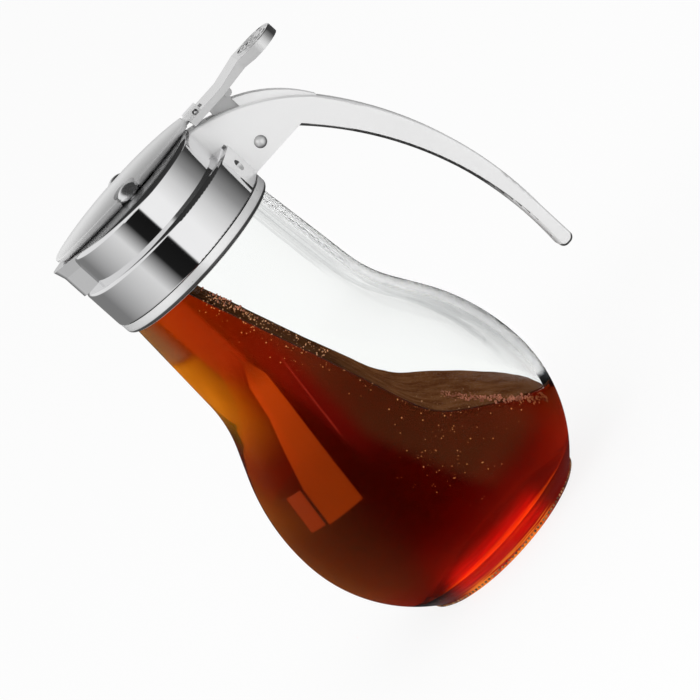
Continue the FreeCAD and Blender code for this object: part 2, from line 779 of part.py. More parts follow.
def makeLever():
    body = newBody("lever")
    padTop = "(strapTop + padRise)"
    padBottom = "(strapTop - padDrop + 0.2)"
    padEnd = "(padCentre + padHalf)"
    strap = newSketch(body, "StrapSide", "XZ_Plane")
    drawOutline(strap, [
        ("strapFront", "strapTop - strapThickness"),
        ("strapBendStart", "strapTop - strapThickness"),
        ("strapBendEnd", padBottom + " + 0.5"),
        ("padCentre - 2", padBottom),
        (padEnd + " + 1", padBottom),
        (padEnd + " + 1", padTop + " - 0.5"),
        ("strapBendEnd", padTop),
        ("strapBendStart + 1.5", "strapTop"),
        ("strapFront", "strapTop"),
    ])
    pad(body, strap, "2 * padHalf + 2", symmetric=True)
    trim = newSketch(body, "StrapTrim", "XY_Plane", "lidHeight - lidThickness")
    drawOutline(trim, [
        ("strapFront - 2", "-padHalf - 3"),
        (padEnd + " + 3", "-padHalf - 3"),
        (padEnd + " + 3", "padHalf + 3"),
        ("strapFront - 2", "padHalf + 3"),
    ])
    prongRoot = "(strapFront + prongLength)"
    drawOutline(trim, [
        ("strapFront", "-strapHalf"),
        ("strapBendEnd - 1", "-strapHalf"),
        ("padCentre", "-padHalf", "padHalf", "left"),
        (padEnd, "0", "padHalf", "left"),
        ("padCentre", "padHalf"),
        ("strapBendEnd - 1", "strapHalf"),
        ("strapFront", "strapHalf"),
        ("strapFront", "prongInner"),
        (prongRoot, "prongInner"),
        (prongRoot, "-prongInner"),
        ("strapFront", "-prongInner"),
    ])
    pocket(body, trim, back=True)
    hollow = newSketch(body, "PadHollow", "XY_Plane", padBottom)
    drawCircle(hollow, "padCentre + 0.3", "0", "padHollow")
    pocket(body, hollow, "padHollowDepth", back=True)
    addWeb(body)
    return body


def addWeb(body):
    web = newSketch(body, "Web", "XZ_Plane")
    joinHeight = "(strapTop - strapThickness / 2)"
    drawOutline(web, [
        ("webFront", joinHeight),
        ("pivotReach - hubRadius", "pivotHeight", "hubRadius", "left"),
        ("pivotReach", "pivotHeight - hubRadius", "hubRadius", "left"),
        ("pivotReach + hubRadius * cos(webLean)", "pivotHeight + hubRadius * sin(webLean)"),
        ("webRear", joinHeight),
    ])
    pad(body, web, "webThickness", symmetric=True)
    roll = newSketch(body, "Roll", "XZ_Plane")
    drawCircle(roll, "webRear + rollRadius / 4", "strapTop - rollDrop", "rollRadius")
    pad(body, roll, "2 * rollHalf", symmetric=True)
    bore = newSketch(body, "HubBore", "XZ_Plane")
    drawCircle(bore, "pivotReach", "pivotHeight", "rivetRadius + hubPlay")
    pocket(body, bore, symmetric=True)
    hole = newSketch(body, "LinkHole", "XZ_Plane")
    drawCircle(hole, "linkReach", "linkHeight", "linkRadius + rivetPlay")
    pocket(body, hole, "2 * (linkHalf + rivetPlay)", symmetric=True)


def makeLinkPin():
    body = newBody("link_pin")
    sketch = newSketch(body, "PinEnd", "XZ_Plane")
    drawCircle(sketch, "linkReach", "linkHeight", "linkRadius")
    pad(body, sketch, "2 * linkHalf", symmetric=True)
    return body


nodes = [
    makeJar(),
    makeSyrup(),
    makeCap(),
    makeHandle(),
    makeRivet(),
    makeGate(),
    makeStud("stud_left", ""),
    makeStud("stud_right", "-"),
    makeLever(),
    makeLinkPin(),
]
doc.recompute()

for thing in doc.Objects:
    if "Invalid" in thing.State or "Error" in thing.State:
        raise ValueError("%s failed: %s" % (thing.Label, thing.State))
for node in nodes:
    if node.Shape.isNull() or not node.Shape.isValid() or len(node.Shape.Solids) != 1:
        raise ValueError("%s isn't one valid solid" % node.Label)

os.makedirs("parts", exist_ok=True)
for node in nodes:
    node.Shape.exportStep("parts/%s.step" % node.Label)
    print("%-12s %10.1f mm3" % (node.Label, node.Shape.Volume))
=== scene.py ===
import bmesh
import bpy
import math
import random
from mathutils import Matrix, Vector


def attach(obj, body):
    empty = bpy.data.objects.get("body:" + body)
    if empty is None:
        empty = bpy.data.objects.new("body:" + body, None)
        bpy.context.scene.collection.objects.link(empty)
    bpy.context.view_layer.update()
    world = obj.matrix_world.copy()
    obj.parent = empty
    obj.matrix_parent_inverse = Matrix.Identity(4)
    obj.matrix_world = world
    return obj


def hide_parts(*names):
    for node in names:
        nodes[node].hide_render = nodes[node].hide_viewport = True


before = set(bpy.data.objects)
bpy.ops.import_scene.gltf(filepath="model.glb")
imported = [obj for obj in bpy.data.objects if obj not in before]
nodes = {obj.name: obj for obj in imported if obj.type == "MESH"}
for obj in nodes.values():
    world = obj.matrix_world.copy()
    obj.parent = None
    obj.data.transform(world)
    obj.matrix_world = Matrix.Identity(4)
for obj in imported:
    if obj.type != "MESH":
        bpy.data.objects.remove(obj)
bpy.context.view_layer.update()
mm = 0.001
weld = 0.000002                                         # metres: nearer corners are one
print("frame loaded")


# Nodes as expressions

class Wire:                                             # a node's output, with arithmetic on it
    def __init__(self, graph, socket):
        self.graph = graph
        self.socket = socket

    def out(self, name):
        return Wire(self.graph, self.socket.node.outputs[name])

    def math(self, operation, *others):
        inputs = dict(enumerate((self,) + others))
        return self.graph.node("ShaderNodeMath", {"operation": operation}, inputs)

    def __add__(self, other):
        return self.math("ADD", other)

    def __sub__(self, other):
        return self.math("SUBTRACT", other)

    def __rsub__(self, other):
        return self.graph.node("ShaderNodeMath", {"operation": "SUBTRACT"}, {0: other, 1: self})

    def __mul__(self, other):
        return self.math("MULTIPLY", other)

    __radd__ = __add__
    __rmul__ = __mul__

    def __abs__(self):
        return self.math("ABSOLUTE")

    def step(self, low, high):                          # 0 below low, 1 above high, smooth between
        return self.graph.node("ShaderNodeMapRange", {"interpolation_type": "SMOOTHSTEP"},
                               {"Value": self, "From Min": low, "From Max": high})


class Graph:                                            # one node tree
    def __init__(self, tree):
        self.tree = tree
        tree.nodes.clear()

    def node(self, kind, settings=None, inputs=None):
        made = self.tree.nodes.new(kind)
        for name, setting in (settings or {}).items():
            if name == "stops":
                ramp = made.color_ramp
                while len(ramp.elements) < len(setting):
                    ramp.elements.new(0.5)
                for element, (place, colour) in zip(ramp.elements, setting):
                    element.position = place
                    element.color = colour if isinstance(colour, tuple) else (colour, colour, colour, 1)
            else:
                setattr(made, name, setting)
        for name, value in (inputs or {}).items():
            if isinstance(value, Wire):
                self.tree.links.new(value.socket, made.inputs[name])
            else:
                made.inputs[name].default_value = value
        return Wire(self, made.outputs[0]) if made.outputs else made

    def place(self):                                    # object coordinates, and their parts
        point = self.node("ShaderNodeTexCoord").out("Object")
        parts = self.node("ShaderNodeSeparateXYZ", inputs={0: point})
        return point, parts.out("X"), parts.out("Y"), parts.out("Z")

    def noise(self, point, scale, detail=3.0, roughness=0.5):
        made = self.node("ShaderNodeTexNoise", inputs={
            "Vector": point, "Scale": scale, "Detail": detail, "Roughness": roughness})
        return made.out("Fac")

    def mix(self, factor, first, second):               # colours
        made = self.node("ShaderNodeMix", {"data_type": "RGBA"}, {0: factor, 6: first, 7: second})
        return Wire(self, made.socket.node.outputs[2])

    def bump(self, height, distance, strength=1.0):
        return self.node("ShaderNodeBump", inputs={
            "Height": height, "Distance": distance, "Strength": strength})


def newMaterial(name):
    material = bpy.data.materials.new(name)
    material.use_nodes = True
    return material, Graph(material.node_tree)


def isRay(graph, *kinds):                               # 1 where the ray is of any of these kinds
    path = graph.node("ShaderNodeLightPath")
    total = path.out("Is " + kinds[0] + " Ray")
    for kind in kinds[1:]:
        total = total.math("MAXIMUM", path.out("Is " + kind + " Ray"))
    return total


def paint(node, material):
    node.data.materials.clear()
    node.data.materials.append(material)


def grey(level):
    return (level, level, level, 1)


def evenGrey(graph, level):                             # a varying level on all three colours
    return graph.node("ShaderNodeCombineXYZ", inputs={0: level, 1: level, 2: level})


def aimed(place, target):                               # at a place, looking at a target
    place = Vector(place)
    look = (Vector(target) - place).to_track_quat("-Z", "Y").to_matrix().to_4x4()
    return Matrix.Translation(place) @ look


# Camera, rolled as the jar leans while it pours

cameraSizes = {
    "place": (0.0, -1.3526, 0.3741), "aim": (0.00942, 0.0, 0.07057), "roll": 48.0,
    "lens": 247.8, "sensor": 36.0,
}


def makeCamera():
    data = bpy.data.cameras.new("camera")
    data.lens = cameraSizes["lens"]
    data.sensor_width = cameraSizes["sensor"]
    camera = bpy.data.objects.new("camera", data)
    roll = Matrix.Rotation(-math.radians(cameraSizes["roll"]), 4, "Z")
    camera.matrix_world = aimed(cameraSizes["place"], cameraSizes["aim"]) @ roll
    bpy.context.scene.collection.objects.link(camera)
    bpy.context.scene.camera = camera


# Floor, world and lamps

lightSizes = {
    "floorSize": 40.0, "floorTint": 0.93, "floorGlow": 0.86, "worldLevel": 0.78,
    "sideDim": 0.36, "sideRange": (0.3, 0.9),
    "keyPlace": (-0.55, -0.75, 1.0), "keyAim": (0, 0, 0.08), "keySize": 0.7, "keyPower": 5.0,
    # What polished metal meets at the jar's own height, by angle from the front towards the handle.
    "wallStops": [(-180, 0.2), (-125, 0.22), (-78, 0.6), (-52, 0.78), (-28, 0.012), (-4.5, 0.008),
                  (-2.6, 1.0), (26, 1.0), (54, 0.72), (80, 0.3), (108, 0.05), (180, 0.07)],
    "wallTop": (0.02, 0.2), "skyLevel": 0.86,
    "ceilingAim": (0.739, 0.043, 0.672), "ceilingEdge": (0.2, 0.36), "ceilingDim": 0.96,
}


def makeFloor():
    mesh = bpy.data.meshes.new("floor")
    shape = bmesh.new()
    bmesh.ops.create_grid(shape, x_segments=1, y_segments=1, size=lightSizes["floorSize"] / 2)
    shape.to_mesh(mesh)
    shape.free()
    floor = bpy.data.objects.new("floor", mesh)
    bpy.context.scene.collection.objects.link(floor)
    floor.visible_glossy = False
    material, graph = newMaterial("paleFloor")
    matte = graph.node("ShaderNodeBsdfDiffuse", inputs={"Color": grey(lightSizes["floorTint"])})
    glow = graph.node("ShaderNodeEmission", inputs={"Color": grey(1), "Strength": 1.0})
    seen = isRay(graph, "Camera", "Transmission") * lightSizes["floorGlow"]
    surface = graph.node("ShaderNodeMixShader", inputs={0: seen, 1: matte, 2: glow})
    graph.node("ShaderNodeOutputMaterial", inputs={"Surface": surface})
    paint(floor, material)


def makeKeyLamp():                                      # soft, unseen in mirrors and through glass
    key = bpy.data.lights.new("key", "AREA")
    key.energy = lightSizes["keyPower"]
    key.size = lightSizes["keySize"]
    lamp = bpy.data.objects.new("key", key)
    lamp.matrix_world = aimed(lightSizes["keyPlace"], lightSizes["keyAim"])
    lamp.visible_glossy = False
    lamp.visible_transmission = False
    bpy.context.scene.collection.objects.link(lamp)


# Mirrors show a studio with dark panels. All else meets a plain pale world, and what is seen
# through glass or syrup is white, dimmer towards the handle.
def makeWorld():
    sizes = lightSizes
    world = bpy.data.worlds.new("studio")
    bpy.context.scene.world = world
    world.use_nodes = True
    graph = Graph(world.node_tree)
    direction = graph.node("ShaderNodeTexCoord").out("Generated")
    parts = graph.node("ShaderNodeSeparateXYZ", inputs={0: direction})
    x, y, z = parts.out("X"), parts.out("Y"), parts.out("Z")
    turn = x.math("ARCTAN2", y * -1.0) * (0.5 / math.pi) + 0.5
    stops = [((angle + 180) / 360, level) for angle, level in sizes["wallStops"]]
    walls = graph.node("ShaderNodeValToRGB", {"stops": stops}, {0: turn})
    aim = sizes["ceilingAim"]
    near = x * aim[0] + y * aim[1] + z * aim[2]
    sky = sizes["skyLevel"] * (1.0 - near.step(*sizes["ceilingEdge"]) * sizes["ceilingDim"])
    level = graph.mix(z.step(*sizes["wallTop"]), walls, evenGrey(graph, sky))
    studio = graph.node("ShaderNodeBackground", inputs={"Color": level, "Strength": 1.0})
    through = graph.node("ShaderNodeLightPath").out("Transmission Depth").math("MINIMUM", 1.0)
    dim = 1.0 - x.step(*sizes["sideRange"]) * through * sizes["sideDim"]
    white = graph.node("ShaderNodeBackground", inputs={"Color": evenGrey(graph, dim), "Strength": 1.0})
    plain = graph.node("ShaderNodeBackground", inputs={"Color": grey(1), "Strength": sizes["worldLevel"]})
    seen = isRay(graph, "Camera", "Transmission").math("MAXIMUM", through)
    shown = graph.node("ShaderNodeMixShader", inputs={0: seen, 1: plain, 2: white})
    mirrored = isRay(graph, "Glossy") * (1.0 - through)
    surface = graph.node("ShaderNodeMixShader", inputs={0: mirrored, 1: shown, 2: studio})
    graph.node("ShaderNodeOutputWorld", inputs={"Surface": surface})


# Metals

def finishMetal(material, graph, tint, metallic, rough):
    shader = graph.node("ShaderNodeBsdfPrincipled", inputs={
        "Base Color": tint, "Metallic": metallic, "Roughness": rough})
    graph.node("ShaderNodeOutputMaterial", inputs={"Surface": shader})
    return material


chromeLook = {
    "tints": ((0.80, 0.80, 0.81, 1), (0.86, 0.86, 0.86, 1)), "hazeScale": 60.0, "hazeDetail": 4.0,
    "rough": 0.03, "hazeRough": 0.05, "lidStart": (0.14952, 0.14962), "lidRough": 0.22,
}


def makeChrome():                                       # duller on the lid's face
    look = chromeLook
    material, graph = newMaterial("polishedChrome")
    point, _, _, z = graph.place()
    haze = graph.noise(point, look["hazeScale"], look["hazeDetail"])
    rough = look["rough"] + haze * look["hazeRough"] + z.step(*look["lidStart"]) * look["lidRough"]
    return finishMetal(material, graph, graph.mix(haze, *look["tints"]), 1.0, rough)


satinLook = {
    "grainScale": 700.0, "grainRough": 0.08, "hazeScale": 45.0, "hazeDip": 0.95,
    "undersideRise": (-0.16, -0.04), "undersideReflection": 0.07,
    "ledgeRise": (0.5, 0.8), "ledgeReach": (0.009, 0.011), "ledge": 0.06,
}


def metalGraph(name):                                   # with grain, haze and the way that each face looks
    material, graph = newMaterial(name)
    point, graph.x, graph.y, _ = graph.place()
    faced = graph.node("ShaderNodeTexCoord").out("Normal")
    faced = graph.node("ShaderNodeSeparateXYZ", inputs={0: faced})
    graph.side, graph.rise = faced.out("Y"), faced.out("Z")
    graph.grain = graph.noise(point, satinLook["grainScale"])
    graph.haze = graph.noise(point, satinLook["hazeScale"])
    return material, graph


def makeSatin(name, metallic, light, rough):            # undersides and broad ledges painted dark, as painted dark reflections
    look = satinLook
    material, graph = metalGraph(name)
    tint = graph.mix(graph.haze, grey(light * look["hazeDip"]), grey(light))
    # Painted dark reflection: undersides painted near-black.
    tint = graph.mix(1.0 - graph.rise.step(*look["undersideRise"]), tint, grey(look["undersideReflection"]))
    # Painted dark reflection: broad ledges out at the sides painted near-black.
    ledge = graph.rise.step(*look["ledgeRise"]) * abs(graph.y).step(*look["ledgeReach"])
    tint = graph.mix(ledge, tint, grey(look["ledge"]))
    return finishMetal(material, graph, tint, metallic, rough + graph.grain * look["grainRough"])


brightLook = {
    "tints": (0.78, 0.82), "rough": 0.07,
    "edgeSide": (0.3, 0.97, 0.12), "edgeRise": (0.1, 0.3), "edge": 0.07,
    "underRise": (-0.4, -0.1), "under": 0.55, "underRough": 0.3,
    "bendSide": (0.7, 0.9), "bendEnd": (0.0555, 0.0575), "bendShare": 0.75,
}


def makeBright(name):                                   # painted dark reflections on rounded edges; undersides and flanks painted as a matt grey, a painted shade
    look = brightLook
    material, graph = metalGraph(name)
    tint = graph.mix(graph.haze, *(grey(level) for level in look["tints"]))
    # Painted dark reflection on the rounded upper edges.
    edge = within(abs(graph.side), *look["edgeSide"]) * graph.rise.step(*look["edgeRise"])
    tint = graph.mix(edge, tint, grey(look["edge"]))
    # Painted shade: undersides, and flanks short of the end, made a matt grey.
    under = 1.0 - graph.rise.step(*look["underRise"])
    bend = abs(graph.side).step(*look["bendSide"]) * (1.0 - graph.x.step(*look["bendEnd"]))
    under = under.math("MAXIMUM", bend * look["bendShare"])
    tint = graph.mix(under, tint, grey(look["under"]))
    rough = look["rough"] + graph.grain * satinLook["grainRough"] + under * look["underRough"]
    return finishMetal(material, graph, tint, 1.0 - under, rough)


rivetLook = {
    "speckle": 0.1, "facing": (0.05, 0.45), "middle": 0.8, "around": 0.1, "metallic": 0.4, "rough": 0.32,
}


def makeRivetMetal(name):                               # painted highlight in the middle of the dome, painted shade round it
    look = rivetLook
    material, graph = metalGraph(name)
    facing = graph.node("ShaderNodeLayerWeight", inputs={0: 0.5}).out("Facing")
    around = (facing + graph.grain * look["speckle"]).step(*look["facing"])
    tint = graph.mix(around, grey(look["middle"]), grey(look["around"]))
    rough = look["rough"] + graph.grain * satinLook["grainRough"]
    return finishMetal(material, graph, tint, look["metallic"], rough)


gateLook = {
    "across": (-0.015, 0.004), "near": 0.5, "far": 0.93, "grainScale": 500.0, "metallic": 0.25, "rough": 0.28,
}


def makeGateSatin():                                    # a painted light gradient: painted shade on the near side, lighter towards the far side
    look = gateLook
    material, graph = newMaterial("gateSatin")
    point, _, y, _ = graph.place()
    grain = graph.noise(point, look["grainScale"])
    tint = graph.mix(y.step(*look["across"]), grey(look["near"]), grey(look["far"]))
    rough = look["rough"] + grain * satinLook["grainRough"]
    return finishMetal(material, graph, tint, look["metallic"], rough)


# Glass and what is in it

def alongHeight(graph, up, stops):                      # a place across that changes with height
    stops = [(high / 130, (across + 50) / 100) for high, across in stops]
    ramp = graph.node("ShaderNodeValToRGB", {"stops": stops}, {0: up * (1 / 130)})
    return ramp * 100.0 - 50.0


def within(value, low, high, soft):                     # 1 between two limits, with soft edges
    return value.step(low, low + soft) * (1.0 - value.step(high - soft, high))


glassLook = {
    "ior": 1.45, "tints": ((0.975, 0.985, 0.98, 1), (0.99, 0.995, 0.99, 1)), "sheen": (0.22, 0.22, 0.22, 1),
    "clear": (0.985, 0.99, 0.985, 1), "shade": (0.3, 0.31, 0.32, 1), "shadow": (0.96, 0.97, 0.96, 1),
    "rippleScale": 55.0, "rippleDetail": 2.0, "rippleDepth": 0.00012, "rippleStrength": 0.6,
    # Where the air begins on the wall: millimetres up and across.
    "airEdge": [(14, 48.0), (24, 41.5), (30, 36.5), (66, 11.5), (122, -8.5)], "airSoft": (-1.0, 1.5),
    "shine": 0.08, "heelShine": 0.35, "heelTop": (5.0, 9.0), "airShine": 0.88,
    "edge": (0.35, 0.6), "streakScale": (15.0, 0.006), "streak": (0.48, 0.58), "streakLoss": 0.2,
    # Painted dark reflections by turn round the jar: three down the neck near its edge, one on over the
    # belly.
    "neckLines": ((0.96, 1.05, 0.03), (1.10, 1.18, 0.03), (1.25, 1.34, 0.03)), "neckFoot": (84.0, 96.0),
    "bellyLine": (1.13, 1.24, 0.04), "bellyFoot": (25.0, 50.0), "lineLevel": 0.05, "lineStreak": 0.4,
    # A painted soft shade over the belly, near its edge on the handle's side.
    "shadeTurn": (0.9, 1.25), "shadeUp": (25.0, 75.0, 22.0), "haze": 0.09,
}


# Under the syrup's edge the glass only bends light, so that no veil lies over the dark liquid.
def makeGlass():
    look = glassLook
    material, graph = newMaterial("clearGlass")
    point, x, y, z = graph.place()
    across, up = x * 1000.0, z * 1000.0
    ripple = graph.noise(point, look["rippleScale"], look["rippleDetail"])
    turn = x.math("ARCTAN2", abs(y))
    wide, high = look["streakScale"]
    streaks = graph.noise(graph.node("ShaderNodeCombineXYZ", inputs={0: turn * wide, 1: up * high}), 1.0)
    edge = graph.node("ShaderNodeLayerWeight", inputs={0: 0.5}).out("Facing").step(*look["edge"])
    air = (across - alongHeight(graph, up, look["airEdge"])).step(*look["airSoft"])
    shine = graph.node("ShaderNodeBsdfPrincipled", inputs={
        "Base Color": graph.mix(ripple, *look["tints"]), "Roughness": 0.0, "IOR": look["ior"],
        "Transmission Weight": 1.0, "Specular Tint": look["sheen"],
        "Normal": graph.bump(ripple, look["rippleDepth"], look["rippleStrength"])})
    bend, shade = (graph.node("ShaderNodeBsdfRefraction", inputs={
        "Color": look[name], "Roughness": 0.0, "IOR": look["ior"]}) for name in ("clear", "shade"))
    share = look["shine"] + (1.0 - up.step(*look["heelTop"])) * look["heelShine"]
    share = share + air * (look["airShine"] - edge * streaks.step(*look["streak"]) * look["streakLoss"])
    body = graph.node("ShaderNodeMixShader", inputs={0: share, 1: bend, 2: shine})
    neck = up.step(*look["neckFoot"])
    # Painted dark reflections down the neck and over the belly, and the painted soft shade, darken the glass
    # by mixing in the dark refraction.
    lines = sum(within(turn, *line) for line in look["neckLines"]) * neck
    lines = lines + within(turn, *look["bellyLine"]) * (1.0 - neck) * up.step(*look["bellyFoot"])
    lines = lines * (look["lineLevel"] + streaks * look["lineStreak"])
    lines = lines + turn.step(*look["shadeTurn"]) * within(up, *look["shadeUp"]) * look["haze"]
    body = graph.node("ShaderNodeMixShader", inputs={0: air * lines, 1: body, 2: shade})
    shadow = graph.node("ShaderNodeBsdfTransparent", inputs={"Color": look["shadow"]})
    surface = graph.node("ShaderNodeMixShader", inputs={0: isRay(graph, "Shadow"), 1: body, 2: shadow})
    graph.node("ShaderNodeOutputMaterial", inputs={"Surface": surface})
    return material


syrupLook = {
    "density": 260.0, "tint": (0.862, 0.655, 0.0, 1), "ior": 1.14, "sheen": (0.1, 0.1, 0.1, 1),
    "swirlScale": 38.0, "swirlDepth": 0.0004, "swirlStrength": 0.5,
    "lineStretch": (0.35, 0.35, 6.0), "lineScale": 230.0, "lineRoughness": 0.6,
    # Places are millimetres up and across on the wall.
    "paneLeft": [(46, -31.8), (60, -29.0), (70, -25.0), (80, -20.5), (90, -17.8), (97, -13.8)],
    "paneRight": [(46, -19.3), (60, -16.8), (70, -14.8), (80, -12.8), (90, -11.0), (97, -12.2)],
    "murkLeft": [(18, 6.0), (60, -8.0), (90, -6.0), (120, -9.0)],
    "murkRight": [(18, 36.0), (60, 27.0), (120, 20.0)],
    # Painted light that the syrup seems to carry, as a glow.
    "pane": (0.30, 0.036, 0.002, 1), "paneHigh": (0.17, 0.014, 0.002, 1),
    "paneLow": (0.16, 0.022, 0.004, 1), "amber": (0.36, 0.125, 0.002, 1),
    "rim": (0.085, 0.026, 0.001, 1), "wine": (0.05, 0.0015, 0.0008, 1),
    "heelRed": (0.52, 0.004, 0.002, 1), "heelFade": (0.09, 0.003, 0.001, 1),
    "heelGold": (0.75, 0.2, 0.02, 1), "murk": (0.017, 0.0105, 0.0032, 1),
    "olive": (0.005, 0.007, 0.0018, 1), "dark": (0.0, 0.0, 0.0, 1),
    "thread": (0.16, 0.012, 0.006, 1), "neckGrey": (0.075, 0.045, 0.026, 1),
    # What it takes from the light that comes through, with painted shade by place.
    "bodyTints": ((0.93, 0.86, 0.72, 1), (1.0, 0.93, 0.82, 1)), "sideTint": (0.58, 0.45, 0.19, 1),
    "leftTint": (0.5, 0.6, 0.5, 1), "rightTint": (0.22, 0.18, 0.14, 1), "footTint": (0.6, 0.15, 0.06, 1),
    "neckGreyTint": (0.3, 0.28, 0.24, 1),
}

# Each zone's limits in millimetres: (from, to) for a rise, (low, high, softness) for a band.
syrupZones = {
    "paneFirst": (0.0, 0.7), "paneLast": (-0.7, 0.0), "paneFoot": (47.6, 48.5), "paneHead": (86, 99.5),
    "paneBright": (58, 84), "highAcross": (-21.5, -11.2, 1.6), "highUp": (90, 104),
    "threadAcross": (-5.45, -4.55, 0.4), "threadUp": (62, 93, 6.0),
    "neckGreyAcross": (-25.0, -20.5), "neckGreyUp": (106.5, 109.0),
    "lowFirst": (-5.3, -4.6), "lowLast": (-0.9, -0.3), "lowUp": (48.2, 60.5, 0.7),
    "amberAcross": (-24.0, -13.0), "amberUp": (72, 104), "amberHead": (104.5, 108.5),
    "amberCloud": (0.25, 0.75),
    "rimAcross": (-30.0, -14.0), "rimUp": (44, 96, 18.0),
    "wineAcross": (-12.0, 0.5, 3.0), "wineUp": (48, 70), "wineHead": (92, 108),
    "murkFirst": (0.0, 6.0), "murkLast": (-8.0, 0.0), "murkUp": (18, 116, 12.0),
    "oliveAcross": (-36.0, -16.0), "leftAcross": (-14.0, 0.0), "leftUp": (8, 66, 14.0),
    "rightAcross": (31.0, 40.0), "rightUp": (6.0, 12.0), "sideUp": (48, 100), "side": (30.0, 43.0),
    "foot": (9, 24),
    "heelAcross": (-24.0, 17.0, 9.0), "fadeAcross": (-28.0, 40.0, 12.0), "fadeUp": (8, 27),
    "redUp": (9.0, 16.0), "redLines": (0.3, 0.7), "goldUp": (1.8, 4.6), "goldLines": (0.4, 0.58),
}


def zone(value, name):
    limits = syrupZones[name]
    return within(value, *limits) if len(limits) == 3 else value.step(*limits)


# Painted light, as a glow: reflected window panes on the spout side, an amber glow in the neck, a dim murky
# brown glow under the surface and a red glow in the heel.
def syrupGlow(graph, across, up, swirl, lines):
    look = syrupLook
    left = across - alongHeight(graph, up, look["paneLeft"])
    right = across - alongHeight(graph, up, look["paneRight"])
    pane = zone(left, "paneFirst") * (1.0 - zone(right, "paneLast")) * zone(up, "paneFoot")
    pane = pane * (1.0 - zone(up, "paneHead")) * (0.62 + zone(up, "paneBright") * 0.4)
    pane = pane * (0.75 + swirl * 0.45)
    high = zone(across, "highAcross") * zone(up, "highUp") * (0.65 + swirl * 0.45)
    thread = zone(across + (92.0 - up) * 0.185, "threadAcross") * zone(up, "threadUp")
    # The neck's grey patch near its top: a painted grey glow.
    neckGrey = (1.0 - zone(across, "neckGreyAcross")) * zone(up, "neckGreyUp")
    low = zone(left, "lowFirst") * (1.0 - zone(left, "lowLast")) * zone(up, "lowUp")
    amber = (1.0 - zone(across + swirl * 6.0, "amberAcross")) * zone(up + swirl * 8.0, "amberUp")
    amber = amber * (1.0 - zone(up, "amberHead")) * (0.3 + zone(swirl, "amberCloud") * 0.75)
    rim = (1.0 - zone(across + up * 0.28, "rimAcross")) * zone(up, "rimUp")
    wine = zone(across, "wineAcross") * zone(up, "wineUp") * (1.0 - zone(up, "wineHead") * 0.7)
    murk = zone(across - alongHeight(graph, up, look["murkLeft"]), "murkFirst") * zone(up, "murkUp")
    murk = murk * (1.0 - zone(across - alongHeight(graph, up, look["murkRight"]), "murkLast"))
    murk = murk * (0.5 + swirl * 0.8)
    olive = (1.0 - zone(across, "oliveAcross")) * zone(up, "leftUp") * (0.4 + swirl * 1.1)
    heel = zone(across, "heelAcross")
    fade = (1.0 - zone(up, "fadeUp")) * zone(across, "fadeAcross")
    red = heel * (1.0 - zone(up, "redUp")) * (0.5 + zone(lines, "redLines") * 0.6)
    gold = heel * (1.0 - zone(up, "goldUp")) * zone(lines, "goldLines")
    glow = look["dark"]
    for factor, name in (
            (olive, "olive"), (rim, "rim"), (wine, "wine"), (murk, "murk"), (fade, "heelFade"),
            (amber, "amber"), (neckGrey, "neckGrey"), (thread, "thread"), (high, "paneHigh"), (pane, "pane"),
            (low, "paneLow"), (red, "heelRed"), (gold, "heelGold")):
        glow = graph.mix(factor, glow, look[name])
    return glow


# Painted shade: over a swirl of tone, the light through the syrup is darker at the sides, on the left, on the
# right, at the foot and in the neck, and redder at the foot.
def syrupTint(graph, across, up, swirl):
    look = syrupLook
    tint = graph.mix(swirl, *look["bodyTints"])
    for factor, name in (
            (zone(abs(across) + zone(up, "sideUp") * 17.0, "side"), "sideTint"),
            ((1.0 - zone(across, "leftAcross")) * zone(up, "leftUp") * 0.8, "leftTint"),
            (zone(across, "rightAcross") * zone(up, "rightUp"), "rightTint"),
            (1.0 - zone(up, "foot"), "footTint"),
            # the neck's grey patch: painted shade on the light through
            ((1.0 - zone(across, "neckGreyAcross")) * zone(up, "neckGreyUp"), "neckGreyTint")):
        tint = graph.mix(factor, tint, look[name])
    return tint


def makeSyrupMaterial():
    material, graph = newMaterial("amberSyrup")
    look = syrupLook
    point, x, _, z = graph.place()
    across, up = x * 1000.0, z * 1000.0
    swirl = graph.noise(point, look["swirlScale"])
    stretched = graph.node("ShaderNodeMapping", inputs={"Vector": point, "Scale": look["lineStretch"]})
    lines = graph.noise(stretched, look["lineScale"], 3.0, look["lineRoughness"])
    liquid = graph.node("ShaderNodeBsdfPrincipled", inputs={
        "Base Color": syrupTint(graph, across, up, swirl), "Roughness": 0.0, "IOR": look["ior"],
        "Transmission Weight": 1.0, "Specular Tint": look["sheen"],
        "Emission Color": syrupGlow(graph, across, up, swirl, lines), "Emission Strength": 1.0,
        "Normal": graph.bump(swirl, look["swirlDepth"], look["swirlStrength"])})
    shadow = graph.node("ShaderNodeBsdfTransparent", inputs={"Color": grey(1)})
    surface = graph.node("ShaderNodeMixShader", inputs={0: isRay(graph, "Shadow"), 1: liquid, 2: shadow})
    volume = graph.node("ShaderNodeVolumeAbsorption", inputs={
        "Color": look["tint"], "Density": look["density"]})
    graph.node("ShaderNodeOutputMaterial", inputs={"Surface": surface, "Volume": volume})
    return material


foamLook = {
    "cellScale": 1100.0, "cellEdge": (0.12, 0.3), "cellDepth": 0.0002, "cell": (0.34, 0.16, 0.08, 1),
    "patchScale": 160.0, "patchDetail": 4.0, "patch": (0.35, 0.7),
    "tints": ((0.085, 0.032, 0.012, 1), (0.2, 0.085, 0.035, 1)),
    "warm": (0.2, 0.06, 0.015, 1), "warmShare": 0.25,
    "high": (0.060, 0.078), "highShare": 0.55, "highTint": (0.035, 0.011, 0.004, 1),
    "wet": (0.3, 0.75), "wetTints": ((0.03, 0.0045, 0.0012, 1), (0.06, 0.012, 0.0025, 1)),
    "wetRough": 0.12, "wetIor": 1.4, "wetLevel": 0.25, "slant": (0.55, 0.8),
}


